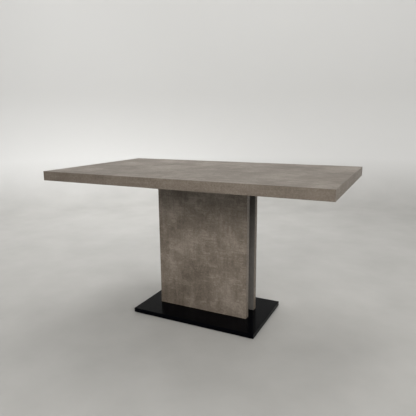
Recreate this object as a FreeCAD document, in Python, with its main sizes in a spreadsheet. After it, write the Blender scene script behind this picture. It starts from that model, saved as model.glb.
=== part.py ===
"""Extending dining table on a two-panel pedestal.

Frame: origin on the floor under the middle of the closed top, +X along the top, +Y to the rear, +Z up.
The top is split at x = 0. Its halves run outward on two geared slide units, and the two loose boards of
the insert lie in a bay between the column and the slides.
"""

import FreeCAD, Part
import math
import os
import re
import Sketcher

# Driving dimensions, in millimetres. Each one becomes a named cell of the sheet.
DIMENSIONS = {
    # closed top
    "top_length": 1400,
    "top_width": 800,
    "top_height": 760,
    "edge_height": 45,
    "board": 18,
    "edge_band": 1,
    "strip_width": 24,
    "seam_gap": 0.2,
    "travel": 200,
    # pedestal
    "column_length": 495,
    "column_depth": 140,
    "panel": 30,
    "base_length": 670,
    "base_width": 404,
    "base_thickness": 22,
    "base_bevel": 1,
    "foot_height": 4,
    "post_offset": 150,
    "post_width": 40,
    "post_wall": 2,
    "post_corner": 3,
    "steel_plate": 6,
    "foot_plate_length": 440,
    "head_plate_width": 320,
    "ballast_length": 360,
    "ballast_width": 300,
    "ballast_thickness": 10,
    # slide frame
    "slide_offset": 240,
    "rail_length": 900,
    "rail_width": 34,
    "rail_height": 26,
    "groove_depth": 8,
    "groove_floor": 4,
    "groove_height": 9,
    "runner_gap": 0.5,
    "runner_width": 20,
    "runner_inner": 230,
    "runner_outer": 650,
    "tongue_play": 0.3,
    "tongue_depth": 7.6,
    "rebate_floor": 16,
    "rebate_wall": 9,
    "screw_inset": 5.5,
    "pad_thickness": 2,
    "pad_length": 30,
    "pad_width": 10,
    "bearer_width": 30,
    "bearer_offset": 218,
    "bearer_reach": 300,
    "bearer_tip": 18,
    "bearer_depth": 40,
    "bearer_seat": 190,
    "bolt_offset": 233,
    "stop_radius": 3,
    "stop_bite": 8,
    "slot_width": 7,
    "slot_depth": 8,
    # equaliser gears
    "gear_module": 2,
    "gear_teeth": 20,
    "gear_thickness": 7,
    "gear_play": 0.4,
    "rack_teeth": 36,
    "pocket_radius": 23,
    "axle_radius": 4,
    "axle_head": 1.8,
    "axle_foot": 1,
    "axle_play": 0.2,
    "running_gap": 0.05,
    # insert boards
    "leaf_length": 400,
    "leaf_width": 400,
    "lower_leaf_floor": 676.5,
    "upper_leaf_floor": 696,
    "pin_radius": 4,
    "pin_reach": 12,
    "pin_seat": 20,
    "leaf_pin_seat": 15,
    "socket_play": 0.3,
    "ledge_sheet": 0.8,
    "ledge_play": 0.3,
    "ledge_lift": 2,
    "ledge_screw_radius": 3,
    "ledge_screw_head": 1.5,
    "ledge_screw_height": 686,
    "ledge_width": 26,
    "felt": 1.2,
    "felt_inner": 120,
    "felt_outer": 150,
    # locks
    "lever_pivot": 289,
    "lever_length": 62,
    "lever_width": 10,
    "lever_thickness": 4,
    "lever_boss": 8,
    "boss_rise": 3,
    "lever_lift": 1,
    "lever_bevel": 6,
    "pivot_bite": 12,
    "pivot_play": 0.3,
    "pivot_lip": 2.5,
    "pivot_head": 2,
    "lobe_radius": 5,
    "lobe_gap": 0.3,
    # feet
    "foot_radius": 15,
    "foot_offset_along": 300,
    "foot_offset_across": 170,
    "stud_radius": 4,
    "foot_rim": 3.5,
    "notch_count": 8,
    "notch_radius": 2,
    "notch_centre": 15.8,
    "stud_length": 14,
    "insert_radius": 6.5,
    "insert_length": 18,
}

# Lengths that several pieces share, as expressions of the sheet's cells.
HALF_LENGTH = "top_length / 2"
HALF_WIDTH = "top_width / 2"
UNDERSIDE = "top_height - board"
APRON = "top_height - edge_height"
BASE_TOP = "foot_height + base_thickness"
FOOT_PLATE_TOP = f"({BASE_TOP}) + steel_plate"
HEAD_PLATE_TOP = f"({APRON}) - bearer_depth"
COLUMN_TOP = f"({HEAD_PLATE_TOP}) - steel_plate"
PANEL_FACE = "column_depth / 2 - panel"
RAIL_TOP = f"({APRON}) + rail_height"
LEVER_FLOOR = f"({APRON}) + lever_lift"
BOSS_TOP = f"{LEVER_FLOOR} + lever_thickness + boss_rise"
RUNNER_FLOOR = f"({APRON}) + runner_gap"
RACK_FLOOR = f"({APRON}) + rebate_floor + runner_gap"
GEAR_FLOOR = f"({RACK_FLOOR}) + runner_gap"
GEAR_TOP = f"({GEAR_FLOOR}) + gear_thickness"
RUNNER_SIDE = "rail_width / 2 + runner_gap"
RACK_WALL = f"({RUNNER_SIDE}) + rebate_wall"
SCREW_LINE = f"({RUNNER_SIDE}) + runner_width - screw_inset"
SLOT_LINE = f"({RUNNER_SIDE}) + runner_width / 2"

RUNNER_SCREW_STATIONS = (270, 440, 610)
ALIGNMENT_STATIONS = (-300, -100, 100, 300)
LEAF_PIN_STATIONS = (-100, 100)
BEARER_BOLT_STATIONS = (-100, 100)
LEDGE_SCREW_STATIONS = (-150, 0, 150)
BRACKET_STATION = 75
BRACKET_LEG = 30
BRACKET_SHEET = 3
BRACKET_SCREW_LINE = 18
BRACKET_HALF_WIDTH = 20
PANEL_SCREW_RADIUS = 2
PANEL_SCREW_BITE = 14
PANEL_SCREW_HEAD = {"radius": 4, "height": 2}
PANEL_SCREW_HEIGHTS = (f"({FOOT_PLATE_TOP}) + {BRACKET_SCREW_LINE}", f"({COLUMN_TOP}) - {BRACKET_SCREW_LINE}")
BASE_BOLT_ALONG = 195
BASE_BOLT_ACROSS = 22

PRESSURE_SLOPE = math.tan(math.radians(20))
DEDENDUM = 1.25
FLANK_START = 1.002
TEETH_PAST_MIDDLE = 2
TOLERANCE = 0.01

RUNNER_SCREW = {"radius": 2, "head": 4, "sink": 3, "bite": 12}
M6_BOLT = {"radius": 3, "head": 5.5, "head_height": 3, "depth": 20}
M8_BOLT = {"radius": 4, "head": 8, "head_height": 4}

SIDES = {"right": 1, "left": -1}
UNITS = {"front": -1, "rear": 1}

doc = FreeCAD.newDocument("ExtendingDiningTable")
nodes = []


def fill_sheet():
    """Puts the driving dimensions into a sheet whose cells the model's sizes are bound to."""
    sheet = doc.addObject("Spreadsheet::Sheet", "Dims")
    for row, (alias, size) in enumerate(DIMENSIONS.items(), start=1):
        sheet.set(f"A{row}", alias)
        sheet.set(f"B{row}", str(size))
        sheet.setAlias(f"B{row}", alias)
    doc.recompute()
    return sheet


SHEET = fill_sheet()


def linked(expression):
    """Writes an expression of dimension names as one that reads them from the sheet."""
    def cell(match):
        word = match.group()
        return f"Dims.{word}" if word in DIMENSIONS else word
    return re.sub(r"[a-z][a-z_]*", cell, str(expression))


def value(expression):
    """Works an expression of dimension names out as a number, for shapes that are made in code."""
    def number(match):
        word = match.group()
        return str(float(SHEET.get(word))) if word in DIMENSIONS else word
    return float(FreeCAD.Units.Quantity(re.sub(r"[a-z][a-z_]*", number, str(expression))).Value)


def span(low, high, side=1):
    """Gives the limits of a piece, mirrored to the other side of the middle when side is -1."""
    return (low, high) if side > 0 else (f"-({high})", f"-({low})")


def across(unit, distance):
    """Gives the y of a line that lies a distance to the outer side of a slide unit's middle."""
    return f"{unit} * (slide_offset + ({distance}))"


# ---------------------------------------------------------------- part primitives

def block(name, along, wide, tall):
    """A rectangular piece between limits in x, y and z."""
    piece = doc.addObject("Part::Box", name)
    for size, axis, (low, high) in zip(("Length", "Width", "Height"), "xyz", (along, wide, tall)):
        piece.setExpression(size, linked(f"({high}) - ({low})"))
        piece.setExpression(f"Placement.Base.{axis}", linked(low))
    return piece


TURNS = {
    "X": FreeCAD.Rotation(FreeCAD.Vector(0, 1, 0), 90),
    "Y": FreeCAD.Rotation(FreeCAD.Vector(1, 0, 0), -90),
    "Z": FreeCAD.Rotation(),
}


def rod(name, radius, start, length, axis="Z"):
    """A cylinder that starts at a point and runs along an axis."""
    piece = doc.addObject("Part::Cylinder", name)
    piece.Placement = FreeCAD.Placement(FreeCAD.Vector(), TURNS[axis])
    piece.setExpression("Radius", linked(radius))
    piece.setExpression("Height", linked(length))
    for letter, place in zip("xyz", start):
        piece.setExpression(f"Placement.Base.{letter}", linked(place))
    return piece


def fuse(name, pieces):
    """One solid made of several that touch."""
    whole = doc.addObject("Part::MultiFuse", name)
    whole.Shapes = pieces
    whole.Refine = True
    return whole


def cut(name, base, tools):
    """A piece with holes cut into it."""
    whole = doc.addObject("Part::Cut", name)
    whole.Base = base
    whole.Tool = tools[0] if len(tools) == 1 else fuse(f"{name}_tools", tools)
    return whole


def node(label, piece):
    """Names a finished sub-part."""
    piece.Label = label
    nodes.append(piece)
    return piece


def group(label, pieces):
    """Names a sub-part that is several separate solids."""
    whole = doc.addObject("Part::Compound", f"{label}_group")
    whole.Links = pieces
    return node(label, whole)


# ---------------------------------------------------------------- part design features

def new_body(label):
    """A body that carries sketches and features."""
    return node(label, doc.addObject("PartDesign::Body", label))


def new_sketch(body, role, offset="0"):
    """A sketch on one of the body's own origin planes, moved off it along the plane's normal."""
    sketch = body.newObject("Sketcher::SketchObject", f"{body.Name}_sketch")
    plane = [item for item in body.Origin.OriginFeatures if item.Role == role][0]
    sketch.AttachmentSupport = [(plane, "")]
    sketch.MapMode = "FlatFace"
    sketch.setExpression("AttachmentOffset.Base.z", linked(offset))
    return sketch


def bind_point(sketch, edge, position, across_page, up_page):
    """Holds one point of a sketch at a place given by two expressions."""
    for kind, place in (("DistanceX", across_page), ("DistanceY", up_page)):
        index = sketch.addConstraint(Sketcher.Constraint(kind, -1, 1, edge, position, value(place)))
        sketch.setExpression(f"Constraints[{index}]", linked(place))


def draw_outline(sketch, corners):
    """A closed outline of straight lines through corners given as expressions."""
    points = [FreeCAD.Vector(value(x), value(y), 0) for x, y in corners]
    first = sketch.GeometryCount
    count = len(points)
    for index, point in enumerate(points):
        sketch.addGeometry(Part.LineSegment(point, points[(index + 1) % count]))
    for index in range(count):
        following = first + (index + 1) % count
        sketch.addConstraint(Sketcher.Constraint("Coincident", first + index, 2, following, 1))
    for index, (x, y) in enumerate(corners):
        bind_point(sketch, first + index, 1, x, y)


def draw_rectangle(sketch, across_page, up_page):
    """A rectangle between limits on the sketch's two axes."""
    (left, right), (low, high) = across_page, up_page
    draw_outline(sketch, [(left, low), (right, low), (right, high), (left, high)])


def draw_circle(sketch, radius, across_page="0", up_page="0"):
    """A circle about a point."""
    centre = FreeCAD.Vector(value(across_page), value(up_page), 0)
    circle = Part.Circle(centre, FreeCAD.Vector(0, 0, 1), value(radius))
    edge = sketch.addGeometry(circle)
    bind_point(sketch, edge, 3, across_page, up_page)
    index = sketch.addConstraint(Sketcher.Constraint("Radius", edge, value(radius)))
    sketch.setExpression(f"Constraints[{index}]", linked(radius))


def pad(body, sketch, length, both_ways=False):
    """Extrudes a sketch, along its normal or evenly both ways."""
    feature = body.newObject("PartDesign::Pad", f"{body.Name}_pad")
    feature.Profile = sketch
    feature.Midplane = both_ways
    feature.setExpression("Length", linked(length))
    doc.recompute()
    return feature


def pocket(body, sketch, depth=None, along_normal=False):
    """Cuts a sketch into the body, and stops if the cut takes nothing away."""
    before = body.Shape.Volume
    feature = body.newObject("PartDesign::Pocket", f"{body.Name}_pocket")
    feature.Profile = sketch
    feature.Reversed = along_normal
    if depth is None:
        feature.Type = "ThroughAll"
    else:
        feature.setExpression("Length", linked(depth))
    doc.recompute()
    if body.Shape.Volume > before - 1:
        raise RuntimeError(f"a pocket of {body.Label} cuts nothing")
    return feature


def chamfer(body, edges, size):
    """Bevels edges of the body's last feature."""
    tip = body.Tip
    feature = body.newObject("PartDesign::Chamfer", f"{body.Name}_chamfer")
    feature.Base = (tip, edges)
    feature.setExpression("Size", linked(size))
    doc.recompute()


def edges_at_height(shape, height):
    """Names the edges of a shape that lie level at a height."""
    found = []
    for index, edge in enumerate(shape.Edges, start=1):
        box = edge.BoundBox
        if abs(box.ZMin - height) < TOLERANCE and abs(box.ZMax - height) < TOLERANCE:
            found.append(f"Edge{index}")
    return found


# ---------------------------------------------------------------- the two halves of the top

def make_top_board(hand, side):
    """A half board, with screw holes underneath and holes for the alignment pins in its seam edge."""
    seam = "seam_gap / 2 + edge_band"
    slab = block(
        f"{hand}_slab",
        span(seam, f"({HALF_LENGTH}) - edge_band", side),
        (f"-({HALF_WIDTH}) + edge_band", f"({HALF_WIDTH}) - edge_band"),
        (UNDERSIDE, "top_height"),
    )
    holes = [
        rod(
            f"{hand}_board_hole",
            RUNNER_SCREW["radius"],
            (side * station, across(unit, runner_line(side, unit, SCREW_LINE)), UNDERSIDE),
            RUNNER_SCREW["bite"],
        )
        for station in RUNNER_SCREW_STATIONS
        for unit in UNITS.values()
    ]
    holes += [seam_hole(f"{hand}_seam_hole", side, station) for station in ALIGNMENT_STATIONS]
    node(f"{hand}_top_board", cut(f"{hand}_board_cut", slab, holes))


def seam_hole(name, side, station):
    """A hole in a seam edge: tight on the left half's pins, and with play in the right half's sockets."""
    radius = "pin_radius" if side < 0 else "pin_radius + socket_play"
    low, _ = span("0", "20", side)
    return rod(name, radius, (low, station, "top_height - board / 2"), "20", "X")


def make_edge_strips(hand, side):
    """Three strips glued under the board, which make the edge look thick."""
    inner = "seam_gap / 2"
    outer = f"({HALF_LENGTH}) - edge_band"
    wide = f"({HALF_WIDTH}) - edge_band"
    strips = [
        block(f"{hand}_long_strip", span(inner, outer, side), span(f"({wide}) - strip_width", wide, unit),
              (APRON, UNDERSIDE))
        for unit in UNITS.values()
    ]
    reach = f"({wide}) - strip_width"
    strips.append(block(f"{hand}_end_strip", span(f"({outer}) - strip_width", outer, side),
                        (f"-({reach})", reach), (APRON, UNDERSIDE)))
    group(f"{hand}_edge_strips", strips)


def make_edge_bands(hand, side):
    """The thin bands on the half's front, rear and end faces and on its seam edge."""
    inner = "seam_gap / 2"
    outer = f"({HALF_LENGTH}) - edge_band"
    whole_height = (APRON, "top_height")
    bands = [
        block(f"{hand}_long_band", span(inner, outer, side),
              span(f"({HALF_WIDTH}) - edge_band", HALF_WIDTH, unit), whole_height)
        for unit in UNITS.values()
    ]
    bands.append(block(f"{hand}_end_band", span(outer, HALF_LENGTH, side),
                       (f"-({HALF_WIDTH})", HALF_WIDTH), whole_height))
    seam = block(f"{hand}_seam_band", span(inner, f"({inner}) + edge_band", side),
                 (f"-({HALF_WIDTH}) + edge_band", f"({HALF_WIDTH}) - edge_band"), (UNDERSIDE, "top_height"))
    holes = [seam_hole(f"{hand}_band_hole", side, station) for station in ALIGNMENT_STATIONS]
    bands.append(cut(f"{hand}_seam_band_cut", seam, holes))
    group(f"{hand}_edge_bands", bands)


def make_alignment_pins():
    """Pins set in the left half's seam edge, which enter the right half's sockets."""
    pins = [
        rod("alignment_pin", "pin_radius", ("-pin_seat", station, "top_height - board / 2"),
            "pin_seat + pin_reach", "X")
        for station in ALIGNMENT_STATIONS
    ]
    group("alignment_pins", pins)


# ---------------------------------------------------------------- geared slides

def runner_line(side, unit, distance):
    """The right half's runners pass outside their rails, and the left half's pass inside."""
    return distance if side > 0 else f"-({distance})"


def make_runner(name, side, unit):
    """A runner: its tongue slides in the centre rail's groove, and its slot meets the stop pin."""
    body = new_body(name)
    near = RUNNER_SIDE
    far = f"({RUNNER_SIDE}) + runner_width"
    tip = f"({RUNNER_SIDE}) - tongue_depth"
    floor = RUNNER_FLOOR
    top = f"({UNDERSIDE}) - pad_thickness"
    tongue_low = f"({APRON}) + groove_floor + tongue_play"
    tongue_high = f"({APRON}) + groove_floor + groove_height - tongue_play"
    section = [
        (near, floor), (far, floor), (far, top), (RACK_WALL, top), (RACK_WALL, RACK_FLOOR),
        (near, RACK_FLOOR), (near, tongue_high), (tip, tongue_high), (tip, tongue_low), (near, tongue_low),
    ]
    corners = [(across(unit, runner_line(side, unit, y)), z) for y, z in section]
    low, high = span("-runner_inner", "runner_outer", side)
    profile = new_sketch(body, "YZ_Plane", low)
    draw_outline(profile, corners)
    pad(body, profile, f"({high}) - ({low})")

    slot = new_sketch(body, "XY_Plane", floor)
    reach = "slot_width / 2"
    slot_along = span(f"bolt_offset - travel - {reach}", f"bolt_offset + {reach}", side)
    draw_rectangle(
        slot,
        slot_along,
        (across(unit, runner_line(side, unit, f"({SLOT_LINE}) - {reach}")),
         across(unit, runner_line(side, unit, f"({SLOT_LINE}) + {reach}"))),
    )
    pocket(body, slot, "slot_depth", along_normal=True)

    for radius, depth in ((RUNNER_SCREW["radius"], None), (RUNNER_SCREW["head"], RUNNER_SCREW["sink"])):
        holes = new_sketch(body, "XY_Plane", floor)
        for station in RUNNER_SCREW_STATIONS:
            draw_circle(holes, radius, side * station, across(unit, runner_line(side, unit, SCREW_LINE)))
        pocket(body, holes, depth, along_normal=True)


def make_runner_pads(hand, side):
    """Spacers between a half's runners and its board, so that the other half's board clears them."""
    pads = []
    for unit in UNITS.values():
        for station in RUNNER_SCREW_STATIONS:
            line = across(unit, runner_line(side, unit, SCREW_LINE))
            spacer = block(
                f"{hand}_spacer",
                (f"{side * station} - pad_length / 2", f"{side * station} + pad_length / 2"),
                (f"{line} - pad_width / 2", f"{line} + pad_width / 2"),
                (f"({UNDERSIDE}) - pad_thickness", UNDERSIDE),
            )
            hole = rod(f"{hand}_spacer_hole", RUNNER_SCREW["radius"],
                       (side * station, line, f"({UNDERSIDE}) - pad_thickness"), "pad_thickness")
            pads.append(cut(f"{hand}_spacer_cut", spacer, [hole]))
    group(f"{hand}_runner_pads", pads)


def make_runner_screws(hand, side):
    """Screws that go up through the runners and spacers into the board."""
    screws = []
    for unit in UNITS.values():
        for station in RUNNER_SCREW_STATIONS:
            line = across(unit, runner_line(side, unit, SCREW_LINE))
            head = rod(f"{hand}_screw_head", RUNNER_SCREW["head"], (side * station, line, RUNNER_FLOOR),
                       RUNNER_SCREW["sink"])
            shank = rod(f"{hand}_screw_shank", RUNNER_SCREW["radius"], (side * station, line, RUNNER_FLOOR),
                        f"({UNDERSIDE}) - ({RUNNER_FLOOR}) + {RUNNER_SCREW['bite']}")
            screws.append(fuse(f"{hand}_screw", [head, shank]))
    group(f"{hand}_runner_screws", screws)


def make_centre_rail(name, unit):
    """A fixed rail, grooved on both sides, with an open pocket for the pinion."""
    body = new_body(name)
    side = "rail_width / 2"
    deep = "rail_width / 2 - groove_depth"
    low = f"({APRON}) + groove_floor"
    high = f"({APRON}) + groove_floor + groove_height"
    right_half = [(side, APRON), (side, low), (deep, low), (deep, high), (side, high), (side, RAIL_TOP)]
    left_half = [(f"-({y})", z) for y, z in reversed(right_half)]
    profile = new_sketch(body, "YZ_Plane")
    draw_outline(profile, [(f"{unit} * slide_offset + ({y})", z) for y, z in right_half + left_half])
    pad(body, profile, "rail_length", both_ways=True)

    middle = f"{unit} * slide_offset"
    recess = new_sketch(body, "XY_Plane", RAIL_TOP)
    draw_circle(recess, "pocket_radius", "0", middle)
    pocket(body, recess, f"({RAIL_TOP}) - ({RACK_FLOOR}) + runner_gap")

    bore = new_sketch(body, "XY_Plane", RAIL_TOP)
    draw_circle(bore, "axle_radius", "0", middle)
    pocket(body, bore, "rail_height - 1")

    for radius, depth in ((M6_BOLT["radius"], None), (M6_BOLT["head"], M6_BOLT["head_height"])):
        holes = new_sketch(body, "XY_Plane", RAIL_TOP)
        for side in SIDES.values():
            draw_circle(holes, radius, f"{side} * bolt_offset", middle)
        pocket(body, holes, depth)


def make_rail_bolts():
    """Bolts that hold the rails down on the bearers."""
    bolts = []
    for unit in UNITS.values():
        for side in SIDES.values():
            place = (f"{side} * bolt_offset", f"{unit} * slide_offset")
            head = rod("rail_bolt_head", M6_BOLT["head"],
                       (*place, f"({RAIL_TOP}) - {M6_BOLT['head_height']}"), M6_BOLT["head_height"])
            bite = M6_BOLT["depth"] / 2
            shank = rod("rail_bolt_shank", M6_BOLT["radius"], (*place, f"({APRON}) - {bite}"),
                        f"rail_height + {bite}")
            bolts.append(fuse("rail_bolt", [head, shank]))
    group("rail_bolts", bolts)


def make_stop_pins():
    """Pins in the bearers that end each runner's travel at both ends of its slot."""
    pins = [
        rod("stop_pin", "stop_radius",
            (f"{side} * bolt_offset", across(unit, runner_line(side, unit, SLOT_LINE)),
             f"({APRON}) - stop_bite"),
            "stop_bite + slot_depth - runner_gap")
        for side in SIDES.values()
        for unit in UNITS.values()
    ]
    group("stop_pins", pins)


# ---------------------------------------------------------------- racks and pinions

def rack_tooth(centre, pitch_line, tip, root, half_width):
    """Corners of one rack tooth with flanks at the standard pressure angle."""
    at_root = half_width + (root - pitch_line) * PRESSURE_SLOPE
    at_tip = half_width - (pitch_line - tip) * PRESSURE_SLOPE
    return [
        (centre - at_root, root),
        (centre - at_tip, tip),
        (centre + at_tip, tip),
        (centre + at_root, root),
    ]


def make_rack(name, side, unit):
    """A straight toothed bar set in the rebate of a runner, in mesh with the pinion at rest."""
    gear_module = value("gear_module")
    pitch = math.pi * gear_module
    pitch_line = gear_module * value("gear_teeth") / 2
    outward = side * unit
    middle = value(f"{unit} * slide_offset")
    half_tooth = pitch / 4 - value("gear_play") / 4
    count = int(value("rack_teeth"))
    corners = []
    for index in range(count):
        centre = (index + 0.5 - (count - TEETH_PAST_MIDDLE)) * pitch
        corners += rack_tooth(centre, pitch_line, pitch_line - gear_module,
                              pitch_line + DEDENDUM * gear_module, half_tooth)
    start, end = corners[0][0], corners[-1][0]
    back = value(RACK_WALL)
    corners += [(end, back), (start, back)]
    bottom = value(RACK_FLOOR)
    points = [FreeCAD.Vector(side * x, middle + outward * y, bottom) for x, y in corners]
    face = Part.Face(Part.makePolygon(points + points[:1]))
    height = value(f"({GEAR_TOP}) - ({RACK_FLOOR})")
    rack = doc.addObject("Part::Feature", name)
    rack.Shape = face.extrude(FreeCAD.Vector(0, 0, height))
    rack.Placement = FreeCAD.Placement()
    node(name, rack)


def involute_point(base_radius, radius, turn):
    """A point of an involute at a radius, turned about the gear's middle."""
    roll = math.sqrt((radius / base_radius) ** 2 - 1)
    angle = roll - math.atan(roll) + turn
    return FreeCAD.Vector(radius * math.cos(angle), radius * math.sin(angle), 0)


def gear_outline(gear_module, teeth, play):
    """The closed outline of a spur gear whose first tooth points along +Y."""
    pitch_radius = gear_module * teeth / 2
    base_radius = pitch_radius * math.cos(math.atan(PRESSURE_SLOPE))
    outer = pitch_radius + gear_module
    root = pitch_radius - DEDENDUM * gear_module
    start = base_radius * FLANK_START
    half_angle = (math.pi * gear_module / 2 - play / 2) / 2 / pitch_radius
    flank_turn = -(half_angle + PRESSURE_SLOPE - math.atan(PRESSURE_SLOPE))
    middle = (start + outer) / 2
    rising = [involute_point(base_radius, radius, flank_turn) for radius in (start, middle, outer)]
    falling = [FreeCAD.Vector(point.x, -point.y, 0) for point in reversed(rising)]
    foot_angle = math.atan2(rising[0].y, rising[0].x)
    gap = 2 * math.pi / teeth
    foot = FreeCAD.Vector(root * math.cos(foot_angle), root * math.sin(foot_angle), 0)
    lifted = FreeCAD.Vector(foot.x, -foot.y, 0)
    next_foot = FreeCAD.Rotation(FreeCAD.Vector(0, 0, 1), math.degrees(gap)).multVec(foot)
    valley = FreeCAD.Vector(root * math.cos(gap / 2), root * math.sin(gap / 2), 0)
    tooth = [
        Part.LineSegment(foot, rising[0]),
        Part.Arc(*rising),
        Part.Arc(rising[-1], FreeCAD.Vector(outer, 0, 0), falling[0]),
        Part.Arc(*falling),
        Part.LineSegment(falling[-1], lifted),
        Part.Arc(lifted, valley, next_foot),
    ]
    edges = []
    for index in range(teeth):
        turn = FreeCAD.Placement(FreeCAD.Vector(), FreeCAD.Rotation(FreeCAD.Vector(0, 0, 1),
                                                                    90 + index * 360 / teeth))
        for piece in tooth:
            edge = piece.toShape()
            edge.Placement = turn
            edges.append(edge)
    return Part.Wire(edges)


def make_pinion(name, unit):
    """The wheel that drives the two racks of a unit opposite ways."""
    outline = gear_outline(value("gear_module"), int(value("gear_teeth")), value("gear_play"))
    thickness = value("gear_thickness")
    blank = Part.Face(outline).extrude(FreeCAD.Vector(0, 0, thickness))
    bore = Part.makeCylinder(value("axle_radius + running_gap"), thickness)
    wheel = doc.addObject("Part::Feature", name)
    wheel.Shape = blank.cut(bore)
    wheel.Placement = FreeCAD.Placement(
        FreeCAD.Vector(0, value(f"{unit} * slide_offset"), value(GEAR_FLOOR)), FreeCAD.Rotation())
    node(name, wheel)


def make_pinion_axles():
    """Headed axles pressed into the rails, which the pinions turn on."""
    axles = []
    for unit in UNITS.values():
        middle = f"{unit} * slide_offset"
        foot = f"({APRON}) + axle_foot"
        shoulder = f"({GEAR_TOP}) + axle_play"
        shank = rod("axle_shank", "axle_radius", ("0", middle, foot), f"({shoulder}) - ({foot})")
        head = rod("axle_head", "axle_radius + 2", ("0", middle, shoulder), "axle_head")
        axles.append(fuse("axle", [shank, head]))
    group("pinion_axles", axles)


# ---------------------------------------------------------------- frame between column and slides

def make_bearer(hand, side):
    """A cross bearer, deep over the column and tapered towards the front and rear edges."""
    body = new_body(f"{hand}_bearer")
    low, high = span("bearer_offset", "bearer_offset + bearer_width", side)
    tip = f"({APRON}) - bearer_tip"
    corners = [
        ("-bearer_reach", APRON), ("-bearer_reach", tip), ("-bearer_seat", HEAD_PLATE_TOP),
        ("bearer_seat", HEAD_PLATE_TOP), ("bearer_reach", tip), ("bearer_reach", APRON),
    ]
    profile = new_sketch(body, "YZ_Plane", low)
    draw_outline(profile, corners)
    pad(body, profile, f"({high}) - ({low})")

    middle = f"{side} * bolt_offset"
    stop_places = [across(unit, runner_line(side, unit, SLOT_LINE)) for unit in UNITS.values()]
    top_holes = (
        (M6_BOLT["radius"], M6_BOLT["depth"] / 2, ["slide_offset", "-slide_offset"]),
        ("stop_radius", "stop_bite", stop_places),
    )
    for radius, depth, places in top_holes:
        holes = new_sketch(body, "XY_Plane", APRON)
        for place in places:
            draw_circle(holes, radius, middle, place)
        pocket(body, holes, depth)
    if side > 0:
        holes = new_sketch(body, "XY_Plane", APRON)
        for unit in UNITS.values():
            draw_circle(holes, "stop_radius", middle, f"{unit} * lever_pivot")
        pocket(body, holes, "12")
    holes = new_sketch(body, "XY_Plane", HEAD_PLATE_TOP)
    for station in BEARER_BOLT_STATIONS:
        draw_circle(holes, M6_BOLT["radius"], middle, station)
    pocket(body, holes, M6_BOLT["depth"], along_normal=True)


def make_head_plate():
    """The steel plate on top of the posts that carries the bearers."""
    body = new_body("head_plate")
    profile = new_sketch(body, "XY_Plane", COLUMN_TOP)
    draw_rectangle(profile, ("-column_length / 2", "column_length / 2"),
                   ("-head_plate_width / 2", "head_plate_width / 2"))
    pad(body, profile, "steel_plate")
    holes = new_sketch(body, "XY_Plane", HEAD_PLATE_TOP)
    for side in SIDES.values():
        for station in BEARER_BOLT_STATIONS:
            draw_circle(holes, M6_BOLT["radius"], f"{side} * bolt_offset", station)
    pocket(body, holes)


def make_bearer_bolts():
    """Bolts that hold the bearers down on the head plate."""
    bolts = []
    for side in SIDES.values():
        for station in BEARER_BOLT_STATIONS:
            place = (f"{side} * bolt_offset", station)
            head = rod("bearer_bolt_head", M6_BOLT["head"],
                       (*place, f"({COLUMN_TOP}) - {M6_BOLT['head_height']}"), M6_BOLT["head_height"])
            shank = rod("bearer_bolt_shank", M6_BOLT["radius"], (*place, COLUMN_TOP),
                        f"steel_plate + {M6_BOLT['depth']}")
            bolts.append(fuse("bearer_bolt", [head, shank]))
    group("bearer_bolts", bolts)


def make_leaf_ledge(hand, side):
    """A sheet angle on a bearer's inner face that carries the upper insert board."""
    shelf_top = "upper_leaf_floor - ledge_play"
    shelf = block(f"{hand}_shelf", span("bearer_offset - ledge_width", "bearer_offset", side),
                  ("-bearer_seat", "bearer_seat"), (f"{shelf_top} - ledge_sheet", shelf_top))
    web = block(f"{hand}_web", span("bearer_offset - ledge_sheet", "bearer_offset", side),
                ("-bearer_seat", "bearer_seat"),
                (f"({HEAD_PLATE_TOP}) + ledge_lift", f"{shelf_top} - ledge_sheet"))
    node(f"{hand}_leaf_ledge", fuse(f"{hand}_ledge_angle", [shelf, web]))


def make_ledge_screws():
    """Low-headed screws that hold the ledges to the bearers."""
    screws = []
    for side in SIDES.values():
        for station in LEDGE_SCREW_STATIONS:
            face = "bearer_offset - ledge_sheet"
            start, _ = span(f"{face} - ledge_screw_head", face, side)
            screws.append(rod("ledge_screw", "ledge_screw_radius", (start, station, "ledge_screw_height"),
                              "ledge_screw_head", "X"))
    group("ledge_screws", screws)


def make_felt_strips():
    """Felt on the head plate under the lower insert board."""
    strips = [
        block("felt_strip", span("felt_inner", "felt_outer", side),
              ("-head_plate_width / 2", "head_plate_width / 2"),
              (HEAD_PLATE_TOP, f"({HEAD_PLATE_TOP}) + felt"))
        for side in SIDES.values()
    ]
    group("leaf_felt_strips", strips)


# ---------------------------------------------------------------- insert boards

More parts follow.
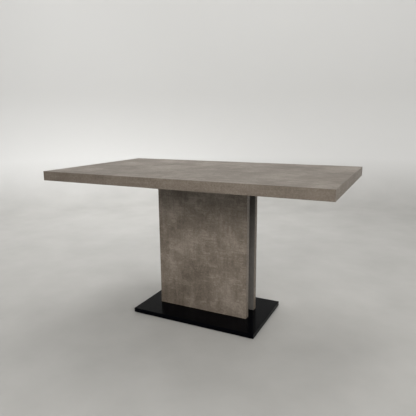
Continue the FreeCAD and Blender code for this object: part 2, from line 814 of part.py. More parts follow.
def make_leaf(level, floor):
    """A loose board: a core with a band all round, pins on one edge and sockets in the other."""
    reach = "leaf_length / 2"
    deep = "leaf_width / 2"
    tall = (floor, f"{floor} + board")
    middle = f"{floor} + board / 2"
    core = block(f"{level}_core", (f"-{reach} + edge_band", f"{reach} - edge_band"),
                 (f"-{deep} + edge_band", f"{deep} - edge_band"), tall)
    sockets = [rod(f"{level}_socket", "pin_radius + socket_play", (f"-{reach}", station, middle),
                   "leaf_pin_seat", "X")
               for station in LEAF_PIN_STATIONS]
    seats = [rod(f"{level}_pin_seat", "pin_radius", (f"{reach} - leaf_pin_seat", station, middle),
                 "leaf_pin_seat", "X")
             for station in LEAF_PIN_STATIONS]
    node(f"{level}_leaf_board", cut(f"{level}_leaf_core", core, sockets + seats))

    bands = [block(f"{level}_long_band", (f"-{reach} + edge_band", f"{reach} - edge_band"),
                   span(f"{deep} - edge_band", deep, unit), tall) for unit in UNITS.values()]
    for side in SIDES.values():
        band = block(f"{level}_end_band", span(f"{reach} - edge_band", reach, side), (f"-{deep}", deep), tall)
        radius = "pin_radius" if side > 0 else "pin_radius + socket_play"
        start, _ = span(f"{reach} - edge_band", reach, side)
        holes = [rod(f"{level}_band_hole", radius, (start, station, middle), "edge_band", "X")
                 for station in LEAF_PIN_STATIONS]
        bands.append(cut(f"{level}_end_band_cut", band, holes))
    group(f"{level}_leaf_bands", bands)

    pins = [rod(f"{level}_pin", "pin_radius", (f"{reach} - leaf_pin_seat", station, middle),
                "leaf_pin_seat + pin_reach", "X")
            for station in LEAF_PIN_STATIONS]
    group(f"{level}_leaf_pins", pins)


# ---------------------------------------------------------------- locks

def make_lock_lever(name, unit):
    """A flat lever with a cam lobe beside the right runner, which turns away as the lever swings out."""
    body = new_body(name)
    middle = f"{unit} * lever_pivot"
    lobe = f"{unit} * (slide_offset + {RUNNER_SIDE} + runner_width + lobe_gap + lobe_radius)"
    for radius, centre in (("lever_boss", middle), ("lobe_radius", lobe)):
        boss = new_sketch(body, "XY_Plane", LEVER_FLOOR)
        draw_circle(boss, radius, "bolt_offset", centre)
        pad(body, boss, "lever_thickness + boss_rise")
    arm = new_sketch(body, "XY_Plane", LEVER_FLOOR)
    near = f"{middle} - lever_width / 2"
    far = f"{middle} + lever_width / 2"
    draw_outline(arm, [
        ("bolt_offset", near), ("bolt_offset + lever_length - lever_bevel", near),
        ("bolt_offset + lever_length", f"{middle} - lever_width / 4"),
        ("bolt_offset + lever_length", f"{middle} + lever_width / 4"),
        ("bolt_offset + lever_length - lever_bevel", far), ("bolt_offset", far),
    ])
    pad(body, arm, "lever_thickness")
    bore = new_sketch(body, "XY_Plane", BOSS_TOP)
    draw_circle(bore, "stop_radius + running_gap", "bolt_offset", middle)
    pocket(body, bore)


def make_lock_pivots():
    """Headed pivots in the right bearer's ends, which the lock levers turn on."""
    pivots = []
    for unit in UNITS.values():
        middle = f"{unit} * lever_pivot"
        top = f"{BOSS_TOP} + pivot_play"
        shank = rod("pivot_shank", "stop_radius", ("bolt_offset", middle, f"({APRON}) - pivot_bite"),
                    f"{top} - ({APRON}) + pivot_bite")
        head = rod("pivot_head", "stop_radius + pivot_lip", ("bolt_offset", middle, top), "pivot_head")
        pivots.append(fuse("pivot", [shank, head]))
    group("lock_pivots", pivots)


# ---------------------------------------------------------------- column

def make_panels():
    """The two décor panels, their end bands and the open gap between them."""
    for hand, unit in UNITS.items():
        core = block(
            f"{hand}_panel_core",
            ("-column_length / 2 + edge_band", "column_length / 2 - edge_band"),
            span(PANEL_FACE, "column_depth / 2", unit),
            (BASE_TOP, COLUMN_TOP),
        )
        start, _ = span(PANEL_FACE, f"({PANEL_FACE}) + {PANEL_SCREW_BITE}", unit)
        holes = [rod(f"{hand}_panel_hole", PANEL_SCREW_RADIUS, (along, start, height), PANEL_SCREW_BITE, "Y")
                 for along in (-BRACKET_STATION, BRACKET_STATION)
                 for height in PANEL_SCREW_HEIGHTS]
        node(f"{hand}_panel", cut(f"{hand}_panel_bored", core, holes))
    bands = [
        block("panel_band", span("column_length / 2 - edge_band", "column_length / 2", side),
              span(PANEL_FACE, "column_depth / 2", unit), (BASE_TOP, COLUMN_TOP))
        for side in SIDES.values()
        for unit in UNITS.values()
    ]
    group("panel_edge_bands", bands)


def make_post(hand, side):
    """A rectangular steel tube that carries the load between the panels."""
    body = new_body(f"{hand}_post")
    profile = new_sketch(body, "XY_Plane", FOOT_PLATE_TOP)
    for wall in ("0", "post_wall"):
        along = f"post_width / 2 - {wall}"
        deep = f"({PANEL_FACE}) - {wall}"
        draw_rectangle(profile, (f"{side} * post_offset - ({along})", f"{side} * post_offset + {along}"),
                       (f"-({deep})", deep))
    pad(body, profile, f"({COLUMN_TOP}) - ({FOOT_PLATE_TOP})")
    upright = []
    for index, edge in enumerate(body.Shape.Edges, start=1):
        box = edge.BoundBox
        outer_face = abs(abs(box.YMin) - value(PANEL_FACE)) < TOLERANCE
        if outer_face and box.YLength < TOLERANCE and box.XLength < TOLERANCE:
            upright.append(f"Edge{index}")
    tip = body.Tip
    rounding = body.newObject("PartDesign::Fillet", f"{hand}_post_rounding")
    rounding.Base = (tip, upright)
    rounding.setExpression("Radius", linked("post_corner"))
    doc.recompute()


def make_foot_plate():
    """The steel plate under the posts, bolted down through the base plate."""
    body = new_body("foot_plate")
    profile = new_sketch(body, "XY_Plane", BASE_TOP)
    draw_rectangle(profile, ("-foot_plate_length / 2", "foot_plate_length / 2"),
                   (f"-({PANEL_FACE})", PANEL_FACE))
    pad(body, profile, "steel_plate")
    holes = new_sketch(body, "XY_Plane", FOOT_PLATE_TOP)
    for along, deep in base_bolt_places():
        draw_circle(holes, M8_BOLT["radius"], along, deep)
    pocket(body, holes)


def base_bolt_places():
    """The four bolts that join the base plate and the foot plate."""
    return [(side * BASE_BOLT_ALONG, unit * BASE_BOLT_ACROSS)
            for side in SIDES.values() for unit in UNITS.values()]


def make_panel_brackets():
    """Angles that hold the panels to the foot plate and to the head plate, and their screws."""
    brackets = []
    screws = []
    ends = ((FOOT_PLATE_TOP, 1, PANEL_SCREW_HEIGHTS[0]), (COLUMN_TOP, -1, PANEL_SCREW_HEIGHTS[1]))
    for height, up, screw_height in ends:
        for along in (-BRACKET_STATION, BRACKET_STATION):
            for unit in UNITS.values():
                brackets.append(panel_bracket(height, up, screw_height, along, unit))
                screws.append(panel_screw(screw_height, along, unit))
    group("panel_brackets", brackets)
    group("panel_screws", screws)


def panel_bracket(height, up, screw_height, along, unit):
    """One angle: a leg on the plate, a leg on the panel's inner face, and a screw hole."""
    width = (f"{along} - {BRACKET_HALF_WIDTH}", f"{along} + {BRACKET_HALF_WIDTH}")
    sheet = (height, f"({height}) + {BRACKET_SHEET}") if up > 0 else (f"({height}) - {BRACKET_SHEET}", height)
    leg = (height, f"({height}) + {BRACKET_LEG}") if up > 0 else (f"({height}) - {BRACKET_LEG}", height)
    angle = fuse("angle", [
        block("angle_flat", width, span(f"({PANEL_FACE}) - {BRACKET_LEG}", PANEL_FACE, unit), sheet),
        block("angle_upright", width, span(f"({PANEL_FACE}) - {BRACKET_SHEET}", PANEL_FACE, unit), leg),
    ])
    start, _ = span(f"({PANEL_FACE}) - {BRACKET_SHEET}", PANEL_FACE, unit)
    hole = rod("angle_hole", PANEL_SCREW_RADIUS, (along, start, screw_height), BRACKET_SHEET, "Y")
    return cut("angle_drilled", angle, [hole])


def panel_screw(height, along, unit):
    """One screw through an angle into a panel."""
    sheet_face = f"({PANEL_FACE}) - {BRACKET_SHEET}"
    head_height = PANEL_SCREW_HEAD["height"]
    head_start, _ = span(f"{sheet_face} - {head_height}", sheet_face, unit)
    shank_start, _ = span(sheet_face, f"({PANEL_FACE}) + {PANEL_SCREW_BITE}", unit)
    head = rod("panel_screw_head", PANEL_SCREW_HEAD["radius"], (along, head_start, height), head_height, "Y")
    shank = rod("panel_screw_shank", PANEL_SCREW_RADIUS, (along, shank_start, height),
                PANEL_SCREW_BITE + BRACKET_SHEET, "Y")
    return fuse("panel_screw", [head, shank])


# ---------------------------------------------------------------- base

def make_base_plate():
    """The black base plate, recessed underneath for the ballast and bored for bolts and feet."""
    body = new_body("base_plate")
    profile = new_sketch(body, "XY_Plane", "foot_height")
    draw_rectangle(profile, ("-base_length / 2", "base_length / 2"), ("-base_width / 2", "base_width / 2"))
    pad(body, profile, "base_thickness")
    chamfer(body, edges_at_height(body.Shape, value(BASE_TOP)), "base_bevel")

    recess = new_sketch(body, "XY_Plane", "foot_height")
    draw_rectangle(recess, ("-ballast_length / 2", "ballast_length / 2"),
                   ("-ballast_width / 2", "ballast_width / 2"))
    pocket(body, recess, "ballast_thickness", along_normal=True)

    bores = (
        (M8_BOLT["radius"], None, base_bolt_places()),
        (M8_BOLT["head"], M8_BOLT["head_height"], base_bolt_places()),
        ("insert_radius", "insert_length", foot_places()),
    )
    for radius, depth, places in bores:
        holes = new_sketch(body, "XY_Plane", "foot_height")
        for along, deep in places:
            draw_circle(holes, radius, along, deep)
        pocket(body, holes, depth, along_normal=True)


def foot_places():
    """The four levelling feet."""
    return [(f"{side} * foot_offset_along", f"{unit} * foot_offset_across")
            for unit in UNITS.values() for side in SIDES.values()]


def make_ballast_plate():
    """A steel plate glued into the recess, which keeps the table's weight low."""
    node("ballast_plate", block(
        "ballast",
        ("-ballast_length / 2", "ballast_length / 2"),
        ("-ballast_width / 2", "ballast_width / 2"),
        ("foot_height", "foot_height + ballast_thickness"),
    ))


def make_base_bolts():
    """Bolts up through the base plate into the foot plate."""
    bolts = []
    for along, deep in base_bolt_places():
        head = rod("base_bolt_head", M8_BOLT["head"], (along, deep, "foot_height"), M8_BOLT["head_height"])
        shank = rod("base_bolt_shank", M8_BOLT["radius"], (along, deep, "foot_height"),
                    "base_thickness + steel_plate")
        bolts.append(fuse("base_bolt", [head, shank]))
    group("base_bolts", bolts)


def make_foot_inserts():
    """Threaded sleeves in the base plate that the feet screw into."""
    sleeves = []
    for along, deep in foot_places():
        sleeve = rod("sleeve", "insert_radius", (along, deep, "foot_height"), "insert_length")
        bore = rod("sleeve_bore", "stud_radius + running_gap", (along, deep, "foot_height"),
                   "insert_length")
        sleeves.append(cut("sleeve_bored", sleeve, [bore]))
    group("foot_inserts", sleeves)


def make_foot(name, along, deep):
    """A levelling foot: a moulded disc with finger notches round it, on a threaded stud."""
    body = new_body(name)
    disc = new_sketch(body, "XY_Plane")
    draw_circle(disc, "foot_radius", along, deep)
    pad(body, disc, "foot_rim")
    stud = new_sketch(body, "XY_Plane", "foot_rim")
    draw_circle(stud, "stud_radius", along, deep)
    pad(body, stud, "stud_length")
    notches = new_sketch(body, "XY_Plane", "foot_rim")
    count = int(value("notch_count"))
    for index in range(count):
        angle = 2 * math.pi * index / count
        draw_circle(notches, "notch_radius", f"{along} + notch_centre * {math.cos(angle):.6f}",
                    f"{deep} + notch_centre * {math.sin(angle):.6f}")
    pocket(body, notches, "foot_rim")


# ---------------------------------------------------------------- the whole table

def make_table():
    """Builds every sub-part."""
    for hand, side in SIDES.items():
        make_top_board(hand, side)
        make_edge_strips(hand, side)
        make_edge_bands(hand, side)
        for place, unit in UNITS.items():
            make_runner(f"{hand}_{place}_runner", side, unit)
            make_rack(f"{hand}_{place}_rack", side, unit)
        make_runner_pads(hand, side)
        make_runner_screws(hand, side)
        make_bearer(hand, side)
        make_leaf_ledge(hand, side)
        make_post(hand, side)
    make_alignment_pins()
    for place, unit in UNITS.items():
        make_centre_rail(f"{place}_centre_rail", unit)
        make_pinion(f"{place}_pinion", unit)
        make_lock_lever(f"{place}_lock_lever", unit)
    make_pinion_axles()
    make_rail_bolts()
    make_stop_pins()
    make_bearer_bolts()
    make_lock_pivots()
    make_ledge_screws()
    make_felt_strips()
    make_leaf("lower", "lower_leaf_floor")
    make_leaf("upper", "upper_leaf_floor")
    make_head_plate()
    make_panels()
    make_panel_brackets()
    make_foot_plate()
    make_base_plate()
    make_ballast_plate()
    make_base_bolts()
    make_foot_inserts()
    names = [f"{place}_{hand}_foot" for place in UNITS for hand in SIDES]
    for name, (along, deep) in zip(names, foot_places()):
        make_foot(name, along, deep)


def check_and_write():
    """Stops on any failed object or shape, then writes each sub-part's own file."""
    for item in doc.Objects:
        if "Invalid" in item.State or "Error" in item.State:
            raise RuntimeError(f"{item.Label} failed: {item.State}")
    for piece in nodes:
        if piece.Shape.isNull() or not piece.Shape.isValid():
            raise RuntimeError(f"{piece.Label} has no valid shape")
    os.makedirs("parts", exist_ok=True)
    for piece in nodes:
        piece.Shape.exportStep(f"parts/{piece.Label}.step")
    print(f"{len(nodes)} sub-parts written")


make_table()
doc.recompute()
check_and_write()
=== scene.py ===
"""Looks of the extending dining table: materials, fine edges, studio and camera."""

import math

import bpy
from mathutils import Matrix, Vector

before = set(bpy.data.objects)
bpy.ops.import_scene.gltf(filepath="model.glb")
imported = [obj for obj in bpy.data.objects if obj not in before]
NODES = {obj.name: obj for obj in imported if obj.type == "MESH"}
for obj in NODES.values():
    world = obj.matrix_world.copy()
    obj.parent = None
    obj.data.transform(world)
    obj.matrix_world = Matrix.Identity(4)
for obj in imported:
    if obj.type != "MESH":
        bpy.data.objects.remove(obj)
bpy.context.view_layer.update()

# Camera: place in metres, angles in degrees, lens and sensor in millimetres.
CAMERA_PLACE = (0.930, -1.875, 0.9945)
CAMERA_YAW = 26.23
CAMERA_PITCH = -11.77
CAMERA_ROLL = -0.43
CAMERA_LENS = 35.97
SENSOR_WIDTH = 36.0


# ---------------------------------------------------------------- material building

class Graph:
    """One node material, with short calls for the textures that the table's surfaces share."""

    def __init__(self, name):
        self.material = bpy.data.materials.new(name)
        self.material.use_nodes = True
        self.tree = self.material.node_tree
        self.surface = self.tree.nodes["Principled BSDF"]
        self.place = self.add("ShaderNodeTexCoord").outputs["Object"]

    def add(self, kind, **settings):
        """A new node with its settings."""
        node = self.tree.nodes.new(kind)
        for key, setting in settings.items():
            setattr(node, key, setting)
        return node

    def feed(self, socket, source):
        """Sets a socket from a number, a colour or another node's output."""
        if isinstance(source, bpy.types.NodeSocket):
            self.tree.links.new(source, socket)
        else:
            socket.default_value = source

    def stretch(self, scale):
        """The surface's own coordinates, scaled along each axis."""
        mapping = self.add("ShaderNodeMapping")
        self.feed(mapping.inputs["Vector"], self.place)
        mapping.inputs["Scale"].default_value = scale
        return mapping.outputs["Vector"]

    def noise(self, scale, detail=3.0, roughness=0.55, where=None, distortion=0.0):
        """Cloudy noise; scale counts features to a metre."""
        node = self.add("ShaderNodeTexNoise")
        self.feed(node.inputs["Vector"], where or self.place)
        node.inputs["Scale"].default_value = scale
        node.inputs["Detail"].default_value = detail
        node.inputs["Roughness"].default_value = roughness
        node.inputs["Distortion"].default_value = distortion
        return node.outputs["Fac"]

    def cells(self, scale, where=None):
        """Distance to scattered points; scale counts points to a metre."""
        node = self.add("ShaderNodeTexVoronoi")
        self.feed(node.inputs["Vector"], where or self.place)
        node.inputs["Scale"].default_value = scale
        return node.outputs["Distance"]

    def remap(self, source, low, high, out_low=0.0, out_high=1.0):
        """A value taken from one range to another and held within it."""
        node = self.add("ShaderNodeMapRange")
        self.feed(node.inputs["Value"], source)
        limits = {"From Min": low, "From Max": high, "To Min": out_low, "To Max": out_high}
        for label, number in limits.items():
            self.feed(node.inputs[label], number)
        return node.outputs["Result"]

    def maths(self, operation, first, second):
        """One arithmetic step."""
        node = self.add("ShaderNodeMath", operation=operation)
        self.feed(node.inputs[0], first)
        self.feed(node.inputs[1], second)
        return node.outputs["Value"]

    def blend(self, share, first, second, how="MIX"):
        """A mix of two colours."""
        node = self.add("ShaderNodeMix", data_type="RGBA", blend_type=how)
        self.feed(node.inputs["Factor"], share)
        self.feed(node.inputs["A"], colour(first))
        self.feed(node.inputs["B"], colour(second))
        return node.outputs["Result"]

    def relief(self, height, distance, strength, under=None):
        """A bump whose full height is a distance in metres, over an earlier one."""
        node = self.add("ShaderNodeBump")
        node.inputs["Strength"].default_value = strength
        node.inputs["Distance"].default_value = distance
        self.feed(node.inputs["Height"], height)
        if under is not None:
            self.feed(node.inputs["Normal"], under)
        return node.outputs["Normal"]

    def finish(self, base, roughness, normal=None, **constants):
        """Feeds the surface shader. Constants go straight onto its own sockets."""
        self.feed(self.surface.inputs["Base Color"], colour(base))
        self.feed(self.surface.inputs["Roughness"], roughness)
        if normal is not None:
            self.feed(self.surface.inputs["Normal"], normal)
        for label, number in constants.items():
            self.surface.inputs[label.replace("_", " ")].default_value = number
        return self.material


def colour(value):
    """A colour with its alpha, or a node's output as it is."""
    if isinstance(value, tuple) and len(value) == 3:
        return (*value, 1.0)
    return value


# ---------------------------------------------------------------- concrete décor

# The printed colours, from the trowel's darkest marks to its lightest, and the pores.
DECOR_DARK = (0.094, 0.075, 0.057)
DECOR_MID = (0.160, 0.132, 0.106)
DECOR_LIGHT = (0.252, 0.216, 0.182)
DECOR_SPECK = (0.050, 0.038, 0.029)


def decor_colour(graph, shares):
    """Trowelled concrete: clouds, patches, mottling, streaks, trowel lines, grain and rare dark pores."""
    clouds = graph.noise(5.5, detail=3.0, roughness=0.5, distortion=0.4)
    patches = graph.noise(23.0, detail=5.0, roughness=0.66, distortion=0.7)
    mottling = graph.noise(120.0, detail=4.0, roughness=0.72)
    streaks = graph.noise(1.0, detail=4.0, roughness=0.65, where=graph.stretch(shares["streak_scale"]))
    lines = graph.noise(1.0, detail=3.0, roughness=0.6, where=graph.stretch(shares["line_scale"]))
    grain = graph.noise(520.0, detail=2.0, roughness=0.7)
    trowelled = graph.remap(patches, 0.46, 0.60)
    line_mark = graph.maths("MULTIPLY", graph.maths("SUBTRACT", lines, 0.5), trowelled)
    tone = graph.maths("ADD", 0.5, graph.maths("MULTIPLY", line_mark, shares["lines"]))
    layers = (("clouds", clouds), ("patches", patches), ("mottling", mottling), ("streaks", streaks),
              ("grain", grain))
    for name, layer in layers:
        swing = graph.maths("MULTIPLY", graph.maths("SUBTRACT", layer, 0.5), shares[name])
        tone = graph.maths("ADD", tone, swing)
    lower = graph.blend(graph.remap(tone, 0.30, 0.50), DECOR_DARK, DECOR_MID)
    base = graph.blend(graph.remap(tone, 0.50, 0.70), lower, DECOR_LIGHT)
    pores = graph.cells(62.0)
    dark_area = graph.remap(graph.noise(9.0, detail=1.0), 0.48, 0.62)
    pore_mask = graph.maths("MULTIPLY", graph.remap(pores, 0.05, 0.12, 1.0, 0.0), dark_area)
    base = graph.blend(graph.maths("MULTIPLY", pore_mask, shares["pores"]), base, DECOR_SPECK)
    return base, tone, grain, pore_mask


def decor_material(name, shares):
    """Matte laminate printed and embossed as concrete."""
    graph = Graph(name)
    base, tone, grain, pore_mask = decor_colour(graph, shares)
    # painted shade: the surface's tint darkens this copy of the laminate to suit how it is lit
    base = graph.blend(1.0, base, shares["tint"], how="MULTIPLY")
    roughness = graph.remap(tone, 0.35, 0.65, 0.50, 0.40)
    emboss = graph.maths("SUBTRACT", graph.maths("MULTIPLY", grain, 0.6), pore_mask)
    normal = graph.relief(graph.noise(110.0, detail=4.0), 0.00035, 0.35)
    normal = graph.relief(emboss, 0.00012, 0.5, under=normal)
    return graph.finish(base, roughness, normal, Specular_IOR_Level=0.5)


# How strongly each layer shows on a surface. The scales are features to a metre along X, Y and Z.
# The tint is painted shade: the top's and the edge bands' copies of the panels' laminate are darkened to suit
# how each is lit.
TOP_DECOR = {
    "tint": (0.89, 0.875, 0.85),
    "clouds": 0.50, "patches": 0.38, "mottling": 0.34, "grain": 0.18, "pores": 0.35,
    "streaks": 0.27, "streak_scale": (3.2, 30.0, 30.0),
    "lines": 0.30, "line_scale": (10.0, 240.0, 240.0),
}
EDGE_DECOR = {
    "tint": (0.89, 0.885, 0.88),
    "clouds": 0.25, "patches": 0.20, "mottling": 0.55, "grain": 0.45, "pores": 0.30,
    "streaks": 0.22, "streak_scale": (7.0, 7.0, 90.0),
    "lines": 0.25, "line_scale": (20.0, 20.0, 500.0),
}
PANEL_DECOR = {
    "tint": (1.0, 0.995, 0.985),
    "clouds": 0.72, "patches": 0.52, "mottling": 0.50, "grain": 0.22, "pores": 0.60,
    "streaks": 0.30, "streak_scale": (42.0, 42.0, 4.0),
    "lines": 0.62, "line_scale": (9.0, 9.0, 210.0),
}


# ---------------------------------------------------------------- other materials

def black_lacquer():
    """Satin black lacquer with faint unevenness and a little dust."""
    graph = Graph("black_lacquer")
    cloud = graph.noise(14.0, detail=4.0)
    dust = graph.remap(graph.noise(900.0, detail=2.0, roughness=0.8), 0.66, 0.80)
    base = graph.blend(graph.maths("MULTIPLY", dust, 0.10), (0.0009, 0.0011, 0.0019), (0.03, 0.03, 0.03))
    roughness = graph.remap(cloud, 0.3, 0.7, 0.16, 0.24)
    normal = graph.relief(graph.noise(260.0, detail=3.0), 0.00010, 0.20)
    return graph.finish(base, roughness, normal, Specular_IOR_Level=0.03)


def powder_coat(name, base):
    """Fine-textured powder coat on steel."""
    graph = Graph(name)
    texture = graph.noise(1400.0, detail=2.0, roughness=0.6)
    tint = graph.blend(graph.remap(graph.noise(20.0), 0.3, 0.7), base, tuple(c * 1.35 for c in base))
    normal = graph.relief(texture, 0.00012, 0.6)
    return graph.finish(tint, graph.remap(texture, 0.3, 0.7, 0.42, 0.58), normal)


def drawn_aluminium():
    """Mill-finish extrusion with die lines along its length."""
    graph = Graph("drawn_aluminium")
    lines = graph.noise(1.0, detail=4.0, roughness=0.7, where=graph.stretch((6.0, 1400.0, 1400.0)))
    smudge = graph.noise(24.0, detail=4.0)
    base = graph.blend(graph.remap(lines, 0.3, 0.7), (0.56, 0.57, 0.58), (0.70, 0.71, 0.72))
    roughness = graph.maths("ADD", graph.remap(lines, 0.3, 0.7, 0.26, 0.36),
                            graph.remap(smudge, 0.45, 0.7, 0.0, 0.10))
    normal = graph.relief(lines, 0.00005, 0.5)
    return graph.finish(base, roughness, normal, Metallic=1.0)


def zinc_steel(name, base):
    """Bright zinc plate, a little blotchy, with fine turning marks."""
    graph = Graph(name)
    blotch = graph.noise(120.0, detail=4.0)
    marks = graph.noise(1.0, detail=3.0, where=graph.stretch((500.0, 500.0, 2600.0)))
    tint = graph.blend(graph.remap(blotch, 0.3, 0.7), base, tuple(c * 0.82 for c in base))
    roughness = graph.remap(blotch, 0.3, 0.7, 0.24, 0.38)
    return graph.finish(tint, roughness, graph.relief(marks, 0.00004, 0.5), Metallic=1.0)


def moulded_plastic(name, base, roughness=(0.38, 0.50), clear=0.0):
    """Moulded plastic with a fine spark texture."""
    graph = Graph(name)
    spark = graph.noise(2200.0, detail=2.0)
    tint = graph.blend(graph.remap(graph.noise(40.0), 0.35, 0.65), base, tuple(c * 0.9 for c in base))
    rough = graph.remap(spark, 0.3, 0.7, *roughness)
    return graph.finish(tint, rough, graph.relief(spark, 0.00005, 0.5), Subsurface_Weight=clear)


def beech_wood():
    """Planed beech, its grain along the bearer, with short dark flecks."""
    graph = Graph("beech_wood")
    along_grain = graph.stretch((95.0, 5.0, 95.0))
    grain = graph.noise(1.0, detail=6.0, roughness=0.6, where=along_grain, distortion=0.5)
    flecks = graph.cells(1.0, where=graph.stretch((900.0, 190.0, 900.0)))
    base = graph.blend(graph.remap(grain, 0.32, 0.68), (0.47, 0.285, 0.155), (0.62, 0.42, 0.255))
    fleck_mask = graph.remap(flecks, 0.10, 0.22, 0.45, 0.0)
    base = graph.blend(fleck_mask, base, (0.27, 0.145, 0.07))
    normal = graph.relief(grain, 0.0002, 0.4)
    return graph.finish(base, graph.remap(grain, 0.3, 0.7, 0.42, 0.55), normal)


def pressed_felt():
    """Grey needle felt."""
    graph = Graph("pressed_felt")
    fibres = graph.noise(900.0, detail=5.0, roughness=0.75, distortion=1.5)
    base = graph.blend(graph.remap(fibres, 0.3, 0.7), (0.055, 0.056, 0.060), (0.16, 0.16, 0.165))
    return graph.finish(base, 0.95, graph.relief(fibres, 0.0004, 0.8), Sheen_Weight=0.35)


def backing_board():
    """Pale backing laminate of the boards' undersides and strips, with chipboard showing through faintly."""
    graph = Graph("backing_board")
    chips = graph.cells(260.0, where=graph.stretch((1.0, 0.8, 1.0)))
    mottling = graph.noise(60.0, detail=5.0, roughness=0.6)
    base = graph.blend(graph.remap(mottling, 0.3, 0.7), (0.40, 0.385, 0.36), (0.47, 0.455, 0.43))
    base = graph.blend(graph.remap(chips, 0.0, 0.5, 0.16, 0.0), base, (0.30, 0.26, 0.21))
    return graph.finish(base, graph.remap(mottling, 0.3, 0.7, 0.50, 0.62),
                        graph.relief(mottling, 0.00008, 0.5))


def liner_laminate():
    """Plain grey-brown laminate on the column's inner faces, darker than the décor: painted shade for the gap
    between the panels.
    """
    graph = Graph("liner_laminate")
    mottling = graph.noise(45.0, detail=5.0, roughness=0.6)
    base = graph.blend(graph.remap(mottling, 0.3, 0.7), (0.112, 0.105, 0.096), (0.138, 0.130, 0.120))
    return graph.finish(base, graph.remap(mottling, 0.3, 0.7, 0.46, 0.58),
                        graph.relief(graph.noise(700.0), 0.00008, 0.5))


# ---------------------------------------------------------------- which piece has which surface

FACES_THE_WAY = 0.9          # cosine of the angle within which a face counts as looking some way


def two_faced(piece, face_material, hidden_material, hidden_way):
    """Gives a board its décor, and its faces that look the hidden way a plain laminate."""
    piece.data.materials.clear()
    piece.data.materials.append(face_material)
    piece.data.materials.append(hidden_material)
    for polygon in piece.data.polygons:
        polygon.material_index = 1 if polygon.normal.dot(hidden_way) > FACES_THE_WAY else 0


def dress(material, *names):
    """Gives whole nodes one material."""
    for name in names:
        piece = NODES[name]
        piece.data.materials.clear()
        piece.data.materials.append(material)


def both_hands(pattern):
    """Names of the left and right versions of a piece."""
    return [pattern.format(hand) for hand in ("left", "right")]


def dress_all():
    """Gives every node its surface."""
    top = decor_material("decor_top", TOP_DECOR)
    edge = decor_material("decor_edge", EDGE_DECOR)
    panel = decor_material("decor_panel", PANEL_DECOR)
    backing = backing_board()
    for name in both_hands("{}_top_board") + ["lower_leaf_board", "upper_leaf_board"]:
        two_faced(NODES[name], top, backing, Vector((0.0, 0.0, -1.0)))
    dress(edge, *both_hands("{}_edge_bands"), "lower_leaf_bands", "upper_leaf_bands", "panel_edge_bands")
    # the panels' inner faces take a darker plain colour: painted shade in the gap between them
    inner_face_shade = liner_laminate()
    for name, inward in (("front_panel", 1.0), ("rear_panel", -1.0)):
        two_faced(NODES[name], panel, inner_face_shade, Vector((0.0, inward, 0.0)))
    dress(backing, *both_hands("{}_edge_strips"))

    slides = [f"{hand}_{place}_runner" for hand in ("left", "right") for place in ("front", "rear")]
    dress(drawn_aluminium(), *slides, "front_centre_rail", "rear_centre_rail")
    racks = [f"{hand}_{place}_rack" for hand in ("left", "right") for place in ("front", "rear")]
    dress(moulded_plastic("gear_nylon", (0.72, 0.70, 0.62), (0.30, 0.42), clear=0.05),
          *racks, "front_pinion", "rear_pinion")
    dress(moulded_plastic("spacer_plastic", (0.022, 0.022, 0.023)), *both_hands("{}_runner_pads"))
    dress(zinc_steel("zinc_plate", (0.62, 0.62, 0.60)), *both_hands("{}_runner_screws"), "rail_bolts",
          "bearer_bolts", "base_bolts", "pinion_axles", "stop_pins", "lock_pivots", "ledge_screws",
          "panel_screws", "panel_brackets", *both_hands("{}_leaf_ledge"))
    dress(zinc_steel("turned_steel", (0.70, 0.70, 0.71)), "alignment_pins", "lower_leaf_pins",
          "upper_leaf_pins")
    dress(zinc_steel("turned_brass", (0.72, 0.50, 0.20)), "foot_inserts")
    dress(beech_wood(), *both_hands("{}_bearer"))
    dress(powder_coat("black_steel", (0.016, 0.016, 0.017)), "head_plate", "foot_plate", "ballast_plate",
          *both_hands("{}_post"))
    dress(black_lacquer(), "base_plate")
    dress(pressed_felt(), "leaf_felt_strips")
    dress(moulded_plastic("lever_plastic", (0.028, 0.028, 0.030)), "front_lock_lever", "rear_lock_lever")
    feet = [f"{place}_{hand}_foot" for place in ("front", "rear") for hand in ("left", "right")]
    dress(moulded_plastic("foot_plastic", (0.020, 0.020, 0.021)), *feet)


SHARP_EDGE = math.radians(35)          # the least turn between two faces that gets a rounding


def soften(width, *names):
    """Takes the sharpness off edges with a small rounding, its width in metres."""
    for name in names:
        bevel = NODES[name].modifiers.new("edge_rounding", "BEVEL")
        bevel.width = width
        bevel.segments = 2
        bevel.limit_method = "ANGLE"
        bevel.angle_limit = SHARP_EDGE
        bevel.harden_normals = False


def soften_all():
    """Rounds the edges that the eye catches, each by what its material would have."""
    soften(0.00015, *both_hands("{}_top_board"), *both_hands("{}_edge_bands"))
    soften(0.0004, "front_panel", "rear_panel", "panel_edge_bands")
    soften(0.0005, "lower_leaf_board", "upper_leaf_board", "lower_leaf_bands", "upper_leaf_bands")
    soften(0.0008, *both_hands("{}_bearer"))
    soften(0.0006, "base_plate", "front_lock_lever", "rear_lock_lever")


# ---------------------------------------------------------------- studio

def new_mesh_object(name, vertices, faces):
    """A plain mesh object in the scene."""
    mesh = bpy.data.meshes.new(name)
    mesh.from_pydata(vertices, [], faces)
    mesh.update()
    piece = bpy.data.objects.new(name, mesh)
    bpy.context.scene.collection.objects.link(piece)
    return piece


def studio_material():
    """A pale polished concrete floor that runs up into a white wall."""
    graph = Graph("studio_paint")
    mottling = graph.noise(3.0, detail=6.0)
    floor = graph.blend(graph.remap(mottling, 0.3, 0.7), (0.37, 0.365, 0.351), (0.425, 0.420, 0.405))
    height = graph.add("ShaderNodeSeparateXYZ")
    graph.feed(height.inputs["Vector"], graph.place)
    rise = graph.remap(height.outputs["Z"], 0.0, 0.5)
    base = graph.blend(rise, floor, (0.62, 0.62, 0.612))
    return graph.finish(base, 0.6, graph.relief(graph.noise(80.0), 0.0003, 0.2))


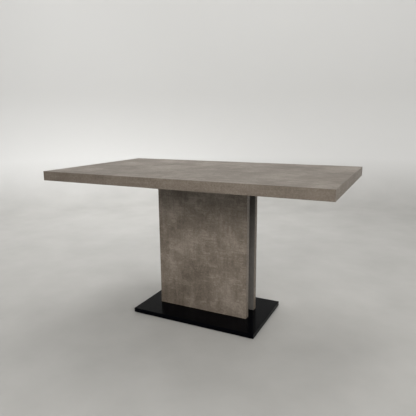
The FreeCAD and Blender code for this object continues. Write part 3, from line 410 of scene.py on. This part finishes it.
def room_profile():
    """The room's section from its middle outwards, as radius and height: floor, cove and wall."""
    wall_radius = 6.2
    wall_height = 10.0
    cove_radius = 1.4
    cove_steps = 16
    cove_start = wall_radius - cove_radius
    profile = [(0.5, 0.0), (3.0, 0.0), (cove_start, 0.0)]
    for step in range(1, cove_steps + 1):
        angle = math.pi / 2 * step / cove_steps
        profile.append((cove_start + cove_radius * math.sin(angle), cove_radius * (1.0 - math.cos(angle))))
    profile.append((wall_radius, wall_height))
    return profile


def studio():
    """A round room whose floor curves up into its wall, its middle on the camera's side of the table."""
    turns = 96
    setback = 2.0
    yaw = math.radians(CAMERA_YAW)
    middle = Vector((math.sin(yaw), -math.cos(yaw), 0.0)) * setback
    profile = room_profile()
    vertices = [middle]
    for radius, z in profile:
        for turn in range(turns):
            angle = 2 * math.pi * turn / turns
            vertices.append(middle + Vector((radius * math.cos(angle), radius * math.sin(angle), z)))
    faces = [(0, 1 + turn, 1 + (turn + 1) % turns) for turn in range(turns)]
    for ring in range(len(profile) - 1):
        inner = 1 + ring * turns
        outer = inner + turns
        for turn in range(turns):
            following = (turn + 1) % turns
            faces.append((inner + turn, outer + turn, outer + following, inner + following))
    cove = new_mesh_object("studio_cove", vertices, faces)
    for polygon in cove.data.polygons:
        polygon.use_smooth = True
    cove.data.materials.append(studio_material())


def area_light(name, place, target, size, watts, tint=(1.0, 1.0, 1.0), spread=180.0):
    """A soft rectangular light that faces a point: places and size in metres, spread in degrees."""
    data = bpy.data.lights.new(name, "AREA")
    data.shape = "RECTANGLE"
    data.size, data.size_y = size
    data.energy = watts
    data.color = tint
    data.spread = math.radians(spread)
    lamp = bpy.data.objects.new(name, data)
    lamp.location = place
    lamp.rotation_euler = (Vector(target) - Vector(place)).to_track_quat("-Z", "Y").to_euler()
    bpy.context.scene.collection.objects.link(lamp)


def lights():
    """Softboxes in front, to the right and behind, and washes for the floor and the wall on both sides."""
    warm = (1.0, 0.985, 0.96)
    area_light("front_softbox", (0.8, -4.2, 3.0), (0.0, 0.0, 0.4), (3.0, 2.0), 122.0, warm)
    area_light("right_softbox", (3.6, -2.0, 2.4), (0.0, 0.0, 0.4), (2.4, 2.0), 108.0, warm)
    area_light("back_softbox", (-0.6, 2.2, 4.4), (-0.2, 0.5, 0.0), (3.0, 1.6), 50.0, warm)
    area_light("floor_wash", (-1.9, 1.6, 4.2), (-1.9, 1.6, 0.0), (3.4, 2.0), 24.0, spread=70.0)
    area_light("wall_wash", (0.2, 0.6, 5.2), (-1.9, 4.2, 0.5), (12.0, 1.0), 134.0)
    area_light("far_wall_wash", (1.9, -4.6, 5.4), (3.4, -6.6, 1.0), (8.0, 1.0), 30.0)
    world = bpy.data.worlds.new("studio_surround")
    bpy.context.scene.world = world
    world.use_nodes = True
    background = world.node_tree.nodes["Background"]
    background.inputs["Color"].default_value = (0.93, 0.96, 1.0, 1.0)
    background.inputs["Strength"].default_value = 0.03


def camera():
    """The camera at the viewing place, level but for a slight roll."""
    yaw, pitch, roll = (math.radians(angle) for angle in (CAMERA_YAW, CAMERA_PITCH, CAMERA_ROLL))
    ahead = Vector((-math.sin(yaw) * math.cos(pitch), math.cos(yaw) * math.cos(pitch), math.sin(pitch)))
    level = Vector((math.cos(yaw), math.sin(yaw), 0.0))
    upright = level.cross(ahead)
    right = level * math.cos(roll) + upright * math.sin(roll)
    up = upright * math.cos(roll) - level * math.sin(roll)
    data = bpy.data.cameras.new("camera")
    data.lens = CAMERA_LENS
    data.sensor_width = SENSOR_WIDTH
    data.clip_end = 100.0
    viewer = bpy.data.objects.new("camera", data)
    viewer.matrix_world = Matrix.Translation(CAMERA_PLACE) @ Matrix((right, up, -ahead)).transposed().to_4x4()
    bpy.context.scene.collection.objects.link(viewer)
    bpy.context.scene.camera = viewer


dress_all()
soften_all()
studio()
lights()
camera()
bpy.context.scene.view_settings.view_transform = "Standard"
